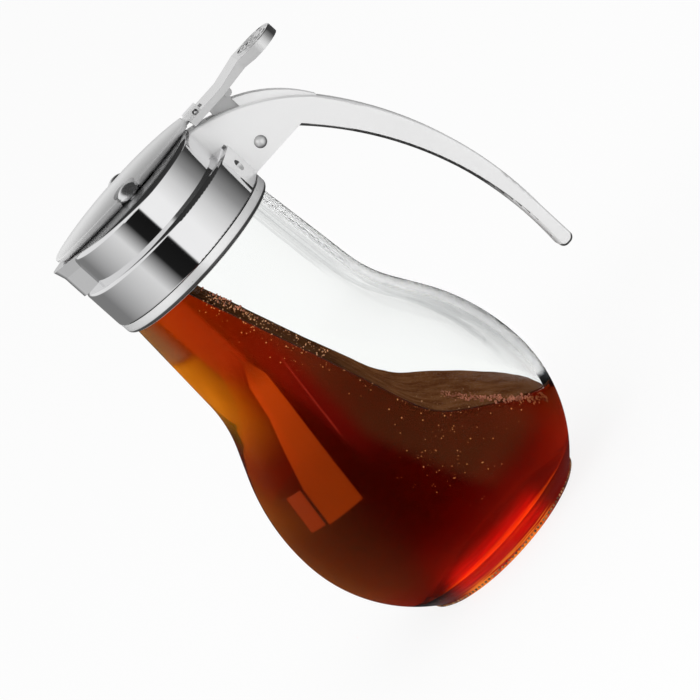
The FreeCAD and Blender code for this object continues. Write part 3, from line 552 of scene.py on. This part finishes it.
def makeFoamMaterial():                                 # wet and dark when faced, matt froth at a slant
    look = foamLook
    material, graph = newMaterial("syrupFoam")
    point, _, _, z = graph.place()
    voronoi = graph.node("ShaderNodeTexVoronoi", inputs={"Vector": point, "Scale": look["cellScale"]})
    cells = voronoi.out("Distance")
    patch = graph.noise(point, look["patchScale"], look["patchDetail"])
    tint = graph.mix(patch.step(*look["patch"]), *look["tints"])
    tint = graph.mix(1.0 - cells.step(*look["cellEdge"]), tint, look["cell"])
    tint = graph.mix(look["warmShare"], tint, look["warm"])
    tint = graph.mix(z.step(*look["high"]) * look["highShare"], tint, look["highTint"])
    froth = graph.node("ShaderNodeBsdfPrincipled", inputs={
        "Base Color": tint, "Roughness": 1.0, "IOR": 1.0, "Specular IOR Level": 0.0,
        "Normal": graph.bump(cells, look["cellDepth"])})
    syrup = graph.node("ShaderNodeBsdfPrincipled", inputs={
        "Base Color": graph.mix(patch.step(*look["wet"]), *look["wetTints"]), "Roughness": look["wetRough"],
        "IOR": look["wetIor"], "Specular IOR Level": look["wetLevel"],
        "Normal": graph.bump(patch, look["cellDepth"])})
    slant = graph.node("ShaderNodeLayerWeight", inputs={0: 0.5}).out("Facing").step(*look["slant"])
    shader = graph.node("ShaderNodeMixShader", inputs={0: slant, 1: syrup, 2: froth})
    graph.node("ShaderNodeOutputMaterial", inputs={"Surface": shader})
    return material


# Profiles of the jar, in millimetres: a chain of points that is spun round the jar's axis

jarSizes = {
    "belly": 45.0, "bellyHeight": 37.0, "lower": 46.5, "upper": 66.0, "lean": 27.0, "throat": 40.0,
    "neckLean": 4.5, "neck": 26.9, "bead": (121.5, 125.5, 28.7, 2.1), "finish": 26.3, "rim": 136.4,
    "wall": 3.0, "heel": (2.2, 27.0, 24.0, 3.5), "foot": ((0, 0), (1.1, 0.42), (1.85, 1.2)),
    "floor": (7.0, 2.5, 6.2, 7.5), "turns": 192, "throatSteps": 14, "upperSteps": 22, "lowerSteps": 26,
}


def arcPoints(centre, radius, start, end, steps):       # angles in degrees
    angles = [math.radians(start + (end - start) * number / steps) for number in range(steps + 1)]
    return [(centre[0] + radius * math.cos(angle), centre[1] + radius * math.sin(angle))
            for angle in angles]


def throatCentre():
    s = jarSizes
    lean, neckLean = math.radians(s["lean"]), math.radians(s["neckLean"])
    reach = s["belly"] - s["upper"] + s["upper"] * math.cos(lean)
    height = s["bellyHeight"] + s["upper"] * math.sin(lean)
    crossUp = (reach + height * math.tan(lean) - s["neck"] - s["bead"][0] * math.tan(neckLean)) / (
        math.tan(lean) - math.tan(neckLean))
    crossOut = s["neck"] + (s["bead"][0] - crossUp) * math.tan(neckLean)
    tangent = s["throat"] * math.tan((lean - neckLean) / 2)
    return (crossOut + tangent * math.sin(lean) + s["throat"] * math.cos(lean),
            crossUp - tangent * math.cos(lean) + s["throat"] * math.sin(lean))


def neckAt(height, inset):
    s = jarSizes
    lean = math.radians(s["neckLean"])
    return s["neck"] + (s["bead"][0] - height) * math.tan(lean) - inset / math.cos(lean)


# The wall at an inset, from a height in the neck down to a height in the lower belly.
def bellyLine(inset, top, low):
    s = jarSizes
    line = [(neckAt(top, inset), top)]
    line += arcPoints(throatCentre(), s["throat"] + inset,
                      180 + s["neckLean"], 180 + s["lean"], s["throatSteps"])
    upper = (s["belly"] - s["upper"], s["bellyHeight"])
    line += arcPoints(upper, s["upper"] - inset, s["lean"], 0, s["upperSteps"])
    lower = (s["belly"] - s["lower"], s["bellyHeight"])
    radius = s["lower"] - inset
    drop = -math.degrees(math.asin((s["bellyHeight"] - low) / radius))
    return line + arcPoints(lower, radius, 0, drop, s["lowerSteps"])[1:]


def floorLine(inset):                                   # from the inner heel to the floor's middle
    s = jarSizes
    thick, rise, across, radius = s["floor"]
    thick -= inset - s["wall"]
    heelUp = thick + rise
    lower = (s["belly"] - s["lower"], s["bellyHeight"])
    reach = lower[0] + math.sqrt((s["lower"] - inset) ** 2 - (lower[1] - heelUp) ** 2)
    first, last = Vector((reach, heelUp)), Vector((reach - across, thick))
    chord = last - first
    side = Vector((-chord.y, chord.x)).normalized() * math.sqrt(radius ** 2 - (chord.length / 2) ** 2)
    centre = (first + last) / 2 - side
    start = math.degrees(math.atan2(*(first - centre).yx))
    end = math.degrees(math.atan2(*(last - centre).yx))
    return heelUp, arcPoints(centre, radius, start, end, 6) + [(reach * 0.4, thick), (0, thick)]


# Spin a chain of points round the jar's axis. It is closed, or starts and ends on the axis.
def spunPiece(name, line, material, turns):
    shape = bmesh.new()
    points = [shape.verts.new((across * mm, 0, up * mm)) for across, up in line]
    edges = [shape.edges.new(pair) for pair in zip(points, points[1:])]
    bmesh.ops.spin(shape, geom=points + edges, cent=(0, 0, 0), axis=(0, 0, 1),
                   angle=2 * math.pi, steps=turns, use_merge=True)
    bmesh.ops.remove_doubles(shape, verts=shape.verts, dist=weld)
    bmesh.ops.recalc_face_normals(shape, faces=shape.faces)
    return asPiece(name, shape, material)


def onlyCorners(made):
    return [item for item in made if isinstance(item, bmesh.types.BMVert)]


def asPiece(name, shape, material, sharp=32.0):
    mesh = bpy.data.meshes.new(name)
    shape.to_mesh(mesh)
    shape.free()
    mesh.shade_smooth()
    mesh.set_sharp_from_angle(angle=math.radians(sharp))
    piece = bpy.data.objects.new(name, mesh)
    bpy.context.scene.collection.objects.link(piece)
    paint(piece, material)
    return piece


def makeJar(glass):
    s = jarSizes
    heelUp, standOut, standIn, pushUp = s["heel"]
    beadLow, beadTop, beadOut, beadRound = s["bead"]
    push = (standIn ** 2 + pushUp ** 2) / (2 * pushUp)
    lean = math.degrees(math.asin(standIn / push))
    outer = arcPoints((0, pushUp - push), push, 90, 90 - lean, 12)
    lower = bellyLine(0, beadLow, heelUp)[::-1]
    heel = [(standOut + out, high) for out, high in s["foot"]]
    bead = arcPoints((beadOut - beadRound + 0.4, beadLow + beadRound), beadRound - 0.4, -80, 0, 6)
    lip = [(neckAt(beadLow, 0) + 0.25, beadLow)] + bead + [(beadOut, beadTop), (s["finish"], beadTop)]
    rim = [(s["finish"], s["rim"] - 0.6), (s["finish"] - 0.6, s["rim"])]
    inRim = [(neckAt(s["rim"], s["wall"]) + 0.5, s["rim"])]
    up, floor = floorLine(s["wall"])
    inner = bellyLine(s["wall"], s["rim"] - 0.4, up)
    line = outer + heel + lower + lip + rim + inRim + inner[:-1] + floor
    piece = spunPiece("jar_glass", line, glass, s["turns"])
    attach(piece, "jar_body")
    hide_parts("jar")


# Syrup: the cavity, reaching just into the glass, less everything above the tilted surface

syrupSizes = {
    "inset": 0.7, "top": 129.6, "corner": (10.8, 49.2), "steep": 15.7, "shallow": 47.4, "bend": 25.0,
    "foot": (2.6, ((26.8, 1.2), (23.8, 1.3), (18, 2.7), (10, 4.0), (0, 4.6))), "turns": 192,
    # The space cut away above the surface.
    "cutTop": 140.0, "cutRun": 45.0, "cutReach": 60, "cutLow": 20, "cutHalf": 60,
}


# The free surface in the plane of the spout and handle, from above the neck down past the belly's wall.
def surfaceLine():
    s = syrupSizes
    steep, shallow = math.radians(s["steep"]), math.radians(s["shallow"])
    tangent = s["bend"] * math.tan((shallow - steep) / 2)
    across, up = s["corner"]
    first = (across - tangent * math.sin(steep), up + tangent * math.cos(steep))
    centre = (first[0] + s["bend"] * math.cos(steep), first[1] + s["bend"] * math.sin(steep))
    line = [(across - (s["cutTop"] - up) * math.tan(steep), s["cutTop"])]
    line += arcPoints(centre, s["bend"], 180 + s["steep"], 180 + s["shallow"], 10)
    return line + [(across + s["cutRun"], up - s["cutRun"] / math.tan(shallow))]


def makeSyrup(material):
    s = syrupSizes
    line = [(0, s["top"])] + [(neckAt(s["top"], s["inset"]) * 0.5, s["top"])]
    line += bellyLine(s["inset"], s["top"], s["foot"][0]) + list(s["foot"][1])
    piece = spunPiece("syrup_fill", line, material, s["turns"])
    cutter = makeCutter(material)
    cut = piece.modifiers.new("cut", "BOOLEAN")
    cut.operation = "DIFFERENCE"
    cut.object = cutter
    cut.solver = "EXACT"
    applyModifiers(piece)
    bpy.data.objects.remove(cutter)
    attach(piece, "jar_body")
    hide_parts("syrup")


def makeCutter(material):                               # the space above the surface, right across the jar
    s = syrupSizes
    shape = bmesh.new()
    edge = surfaceLine() + [(s["cutReach"], s["cutLow"]), (s["cutReach"], s["cutTop"])]
    side = [shape.verts.new((across * mm, -s["cutHalf"] * mm, high * mm)) for across, high in edge]
    face = shape.faces.new(side)
    moved = bmesh.ops.extrude_face_region(shape, geom=[face])["geom"]
    bmesh.ops.translate(shape, vec=(0, 2 * s["cutHalf"] * mm, 0), verts=onlyCorners(moved))
    bmesh.ops.recalc_face_normals(shape, faces=shape.faces)
    return asPiece("syrup_cutter", shape, material)


foamSizes = {
    "thickness": 0.3, "edgeInset": 2.9, "low": 8, "top": 124.0, "margin": 0.4, "step": 1.0, "sides": 26,
    "lift": (0.22, 0, 0.2),
}


# A thin skin on the surface, out to the inside of the glass: rows across the jar, widened to both sides.
def makeFoam(material):
    f = foamSizes
    line = surfaceLine()
    shape = bmesh.new()
    runs = []
    for (ax, az), (bx, bz) in zip(line, line[1:]):
        count = max(1, int(math.hypot(bx - ax, bz - az) / f["step"]))
        for number in range(count):
            part = number / count
            runs.append((ax + (bx - ax) * part, az + (bz - az) * part))
    rows = [(x, z) for x, z in runs
            if f["low"] < z < f["top"] and wallAt(z, f["edgeInset"]) > abs(x) + f["margin"]]
    verts = [shape.verts.new((x * mm, 0, z * mm)) for x, z in rows]
    edges = [shape.edges.new(pair) for pair in zip(verts, verts[1:])]
    for sign in (1, -1):
        last = edges
        for number in range(1, f["sides"] + 1):
            made = bmesh.ops.extrude_edge_only(shape, edges=last)["geom"]
            for vert in onlyCorners(made):
                x, z = vert.co.x / mm, vert.co.z / mm
                half = math.sqrt(max(wallAt(z, f["edgeInset"]) ** 2 - x * x, 0.0))
                vert.co.y = sign * half * mm * number / f["sides"]
            last = [e for e in made if isinstance(e, bmesh.types.BMEdge)
                    and all(v in made for v in e.verts)]
    bmesh.ops.recalc_face_normals(shape, faces=shape.faces)
    if sum(face.normal.z for face in shape.faces) < 0:
        bmesh.ops.reverse_faces(shape, faces=shape.faces)
    whole = shape.faces[:] + shape.edges[:] + shape.verts[:]
    bmesh.ops.solidify(shape, geom=whole, thickness=-f["thickness"] * mm)
    bmesh.ops.translate(shape, vec=[move * mm for move in f["lift"]], verts=shape.verts)
    foam = asPiece("syrup_foam", shape, material)
    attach(foam, "jar_body")


def wallAt(height, inset):                              # the wall's radius at a height, less an inset
    s = jarSizes
    if height >= s["bellyHeight"]:
        centre, radius = (s["belly"] - s["upper"], s["bellyHeight"]), s["upper"] - inset
        top = s["bellyHeight"] + radius * math.sin(math.radians(s["lean"]))
        if height <= top:
            return centre[0] + math.sqrt(radius ** 2 - (height - centre[1]) ** 2)
        throat = throatCentre()
        reach = s["throat"] + inset
        drop = throat[1] - height
        if drop > reach * math.sin(math.radians(s["lean"])):
            lean = math.radians(s["lean"])
            start = (centre[0] + radius * math.cos(lean), top)
            return start[0] - (height - top) * math.tan(lean)
        if drop > reach * math.sin(math.radians(s["neckLean"])):
            return throat[0] - math.sqrt(reach ** 2 - drop ** 2)
        return neckAt(height, inset)
    return s["belly"] - s["lower"] + math.sqrt((s["lower"] - inset) ** 2 - (s["bellyHeight"] - height) ** 2)


bubbleSizes = {
    "seed": 7, "inset": 3.0,
    # Fine bubbles along the surface, most of them on its steep part.
    "edgeCount": 250, "upperRun": (24, 62), "lowerStart": 60, "lowerEnd": 0.8,
    "upperRise": 3.2, "lowerRise": 0.5, "edgeDeepest": 9.0, "edgeTilt": 0.6,
    "edgeSize": (0.06, 0.22), "edgeInto": (-1.5, 0.3),
    # A line of froth on the near wall under the belly's surface, coarser towards its foot.
    "lineCount": 260, "lineStart": (17.0, 50.8), "lineRun": (18.5, 27.0), "lineWaver": 0.7,
    "lineSpread": (0.35, 0.55), "lineSize": (0.15, 0.25, 0.35), "lineInto": (-1.6, -0.2),
    # A patch of froth below the cap.
    "patchCount": 34, "patchAcross": (-3.4, 1.0), "patchUp": (99.0, 3.4), "patchSpread": (-4.0, 3.0),
    "patchSize": (0.15, 0.4), "patchInto": (-1.4, -0.2),
    # Loose ones in the belly.
    "looseCount": 90, "looseAcross": (4, 9), "looseUp": (40, 9),
    "looseSize": (0.06, 0.2), "looseInto": (-1.5, 1.0),
}


def makeBall():
    shape = bmesh.new()
    bmesh.ops.create_uvsphere(shape, u_segments=8, v_segments=6, radius=1.0)
    mesh = bpy.data.meshes.new("ball")
    shape.to_mesh(mesh)
    shape.free()
    return mesh


def addBall(shape, ball, place, radius):                # place and radius in millimetres
    one = ball.copy()
    one.transform(Matrix.Translation(Vector(place) * mm) @ Matrix.Scale(radius * mm, 4))
    shape.from_mesh(one, face_normals=False, vertex_normals=False)
    bpy.data.meshes.remove(one)


def makeBubbles(skin, froth):
    b = bubbleSizes
    draw = random.Random(b["seed"])
    ball = makeBall()
    line = surfaceLine()
    lengths = [math.dist(p, q) for p, q in zip(line, line[1:])]
    tiny, lumps = bmesh.new(), bmesh.new()

    def onLine(place):
        for (p, q), length in zip(zip(line, line[1:]), lengths):
            if place <= length:
                part = place / length
                way = ((q[0] - p[0]) / length, (q[1] - p[1]) / length)
                return (p[0] + (q[0] - p[0]) * part, p[1] + (q[1] - p[1]) * part), way
            place -= length
        return line[-1], (0, -1)

    def drop(shape, x, z, radius, into=0.0):
        reach = wallAt(z, b["inset"] + into)
        if abs(x) > reach - 0.5:
            return
        y = -math.sqrt(reach ** 2 - x * x)
        addBall(shape, ball, (x, y, z), radius)

    total = sum(lengths)
    for number in range(b["edgeCount"]):
        upper = number % 5 < 4
        run = b["upperRun"] if upper else (b["lowerStart"], total * b["lowerEnd"])
        (x, z), way = onLine(draw.uniform(*run))
        deep = min(draw.expovariate(0.5), b["edgeDeepest"]) - (b["upperRise"] if upper else b["lowerRise"])
        drop(tiny, x + way[1] * deep, z - way[0] * deep * b["edgeTilt"],
             draw.uniform(*b["edgeSize"]), draw.uniform(*b["edgeInto"]))
    for number in range(b["lineCount"]):
        part = number / b["lineCount"]
        spread, wider = b["lineSpread"]
        least, most, more = b["lineSize"]
        x = b["lineStart"][0] + b["lineRun"][0] * part + draw.uniform(-b["lineWaver"], b["lineWaver"])
        z = b["lineStart"][1] - b["lineRun"][1] * part + draw.gauss(0, spread + wider * part)
        drop(lumps, x, z, draw.uniform(least, most + more * part), draw.uniform(*b["lineInto"]))
    for number in range(b["patchCount"]):
        x = draw.gauss(*b["patchAcross"])
        z = b["patchUp"][0] - b["patchUp"][1] * x + draw.uniform(*b["patchSpread"])
        drop(lumps, x, z, draw.uniform(*b["patchSize"]), draw.uniform(*b["patchInto"]))
    for number in range(b["looseCount"]):
        x, z = draw.gauss(*b["looseAcross"]), draw.gauss(*b["looseUp"])
        drop(tiny, x, z, draw.uniform(*b["looseSize"]), draw.uniform(*b["looseInto"]))
    for name, shape, material in (("syrup_bubbles", tiny, skin), ("froth_edge", lumps, froth)):
        piece = asPiece(name, shape, material, 60)
        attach(piece, "jar_body")


# Bubbles and beads glow a little in their own colours, a painted glow; on the heel beads the gold patches are
# painted glints.
def makeBubbleMaterial(name, light, dark, glow):
    material, graph = newMaterial(name)
    point = graph.place()[0]
    tint = graph.mix(graph.noise(point, 420.0, 2.0).step(0.3, 0.7), dark, light)
    shader = graph.node("ShaderNodeBsdfPrincipled", inputs={
        "Base Color": tint, "Roughness": 0.2, "Emission Color": tint, "Emission Strength": glow})
    graph.node("ShaderNodeOutputMaterial", inputs={"Surface": shader})
    return material


def applyModifiers(piece):
    bpy.context.view_layer.update()
    depsgraph = bpy.context.evaluated_depsgraph_get()
    mesh = bpy.data.meshes.new_from_object(piece.evaluated_get(depsgraph))
    old = piece.data
    piece.modifiers.clear()
    piece.data = mesh
    bpy.data.meshes.remove(old)
    mesh.name = piece.name


# Plated collar over the glass bead, and the relief on the thumb pad

collarSizes = {"low": 121.7, "top": 125.45, "inner": 28.0, "outer": 28.95, "round": 1.3, "turns": 160}


def makeCollar(material):
    c = collarSizes
    start = (c["inner"], c["low"])
    low = arcPoints((c["outer"] - c["round"], c["low"] + c["round"]), c["round"], -90, 0, 6)
    line = [start] + low + [(c["outer"], c["top"]), (c["inner"], c["top"]), start]
    collar = spunPiece("neck_collar", line, material, c["turns"])
    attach(collar, "jar_body")


# Lever and gate

plateSizes = {
    "lever": {"body": "lever_body", "slot": "satin_metal", "flat": 1.5,
              "bevel": 0.32, "bevelSteps": 3, "bevelFrom": 38},
    "gate": {"body": "gate_body", "slot": "bright_chrome"},
    "evenWeight": 80,
}


def makePlate(name, material):                          # evenly shaded, with rounded edges if it has a bevel
    s = plateSizes[name]
    shape = bmesh.new()
    shape.from_mesh(nodes[name].data)
    shape.transform(nodes[name].matrix_world)
    bmesh.ops.remove_doubles(shape, verts=shape.verts, dist=weld)
    if "flat" in s:
        bmesh.ops.dissolve_limit(shape, angle_limit=math.radians(s["flat"]),
                                 verts=shape.verts, edges=shape.edges)
    plate = asPiece(name + "_plate", shape, material)
    if "bevel" in s:
        bevel = plate.modifiers.new("edges", "BEVEL")
        bevel.width = s["bevel"] * mm
        bevel.segments = s["bevelSteps"]
        bevel.limit_method = "ANGLE"
        bevel.angle_limit = math.radians(s["bevelFrom"])
    even = plate.modifiers.new("even", "WEIGHTED_NORMAL")
    even.weight = plateSizes["evenWeight"]
    even.keep_sharp = True
    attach(plate, s["body"])
    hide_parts(name)


heelSizes = {"count": 130, "reach": 28.75, "height": 1.3, "radius": 0.42}


def makeHeelBeads(material):                            # small beads pressed into the glass round the heel
    h = heelSizes
    ball = makeBall()
    shape = bmesh.new()
    for number in range(h["count"]):
        angle = math.tau * number / h["count"]
        place = (h["reach"] * math.cos(angle), h["reach"] * math.sin(angle), h["height"])
        addBall(shape, ball, place, h["radius"])
    beads = asPiece("heel_beads", shape, material, 60)
    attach(beads, "jar_body")


padSizes = {
    "centre": (56.4, 0.0), "rings": ((6.3, 6.6), (4.7, 4.95), (3.1, 3.3), (1.5, 1.65)), "ringSteps": 64,
    "width": 0.5, "height": 0.28, "sink": 0.05, "bars": 12, "bar": 1.25,
    "slope": -0.0336, "top": (49.0, 152.35),
}


# Raised ovals with short bars between them, for grip: even bars in the outer gap, odd ones further in.
def makePadRelief(material):
    p = padSizes
    shape = bmesh.new()
    for along, cross in p["rings"]:
        outer = bmesh.ops.create_circle(shape, segments=p["ringSteps"], radius=1.0)["verts"]
        inner = bmesh.ops.create_circle(shape, segments=p["ringSteps"], radius=1.0)["verts"]
        for verts, less in ((outer, 0.0), (inner, p["width"])):
            bmesh.ops.scale(shape, vec=((along - less) * mm, (cross - less) * mm, 1), verts=verts)
        rims = list({edge for vert in outer + inner for edge in vert.link_edges})
        faces = bmesh.ops.bridge_loops(shape, edges=rims)["faces"]
        moved = bmesh.ops.extrude_face_region(shape, geom=faces)["geom"]
        bmesh.ops.translate(shape, vec=(0, 0, p["height"] * mm), verts=onlyCorners(moved))
    for number in range(p["bars"]):
        angle = math.tau * number / p["bars"]
        inner, outer = p["rings"][2 if number % 2 else 1], p["rings"][1 if number % 2 else 0]
        reach = [(a + b - p["width"]) / 2 for a, b in zip(inner, outer)]
        bar = bmesh.ops.create_cube(shape, size=1.0)["verts"]
        bmesh.ops.scale(shape, vec=(p["bar"] * mm, p["width"] * mm, p["height"] * mm), verts=bar)
        bmesh.ops.rotate(shape, cent=(0, 0, 0), matrix=Matrix.Rotation(angle, 3, "Z"), verts=bar)
        bmesh.ops.translate(shape, vec=(reach[0] * math.cos(angle) * mm, reach[1] * math.sin(angle) * mm,
                                        p["height"] / 2 * mm), verts=bar)
    for vert in shape.verts:
        vert.co.x += p["centre"][0] * mm
        top = p["top"][1] + (vert.co.x / mm - p["top"][0]) * p["slope"]
        vert.co.z += (top - p["sink"]) * mm
    bmesh.ops.recalc_face_normals(shape, faces=shape.faces)
    relief = asPiece("pad_relief", shape, material)
    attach(relief, "lever_body")


# The whole scene

bpy.context.scene.view_settings.view_transform = "Standard"
makeCamera()
makeFloor()
makeWorld()
makeKeyLamp()
print("stage made")
chrome = makeChrome()
satin = makeSatin("satinPlate", metallic=0.35, light=0.95, rough=0.28)
bright = makeBright("brightSatin")
for name in ("cap", "stud_left", "stud_right"):
    paint(nodes[name], chrome)
paint(nodes["link_pin"], bright)
paint(nodes["pivot_rivet"], makeRivetMetal("rivetHead"))
makePlate("lever", bright)
paint(nodes["handle"], satin)
makePlate("gate", makeGateSatin())
makeCollar(makeSatin("collarPlate", metallic=0.4, light=0.9, rough=0.25))
makePadRelief(bright)
print("metals made")
makeJar(makeGlass())
makeSyrup(makeSyrupMaterial())
makeFoam(makeFoamMaterial())
skin = makeBubbleMaterial("bubbleSkin", (0.72, 0.36, 0.17, 1), (0.34, 0.13, 0.05, 1), 0.4)
froth = makeBubbleMaterial("frothSkin", (0.44, 0.16, 0.09, 1), (0.17, 0.05, 0.025, 1), 0.3)
makeBubbles(skin, froth)
makeHeelBeads(makeBubbleMaterial("heelGlint", (0.55, 0.33, 0.14, 1), (0.05, 0.03, 0.015, 1), 0.1))
print("jar and syrup made")
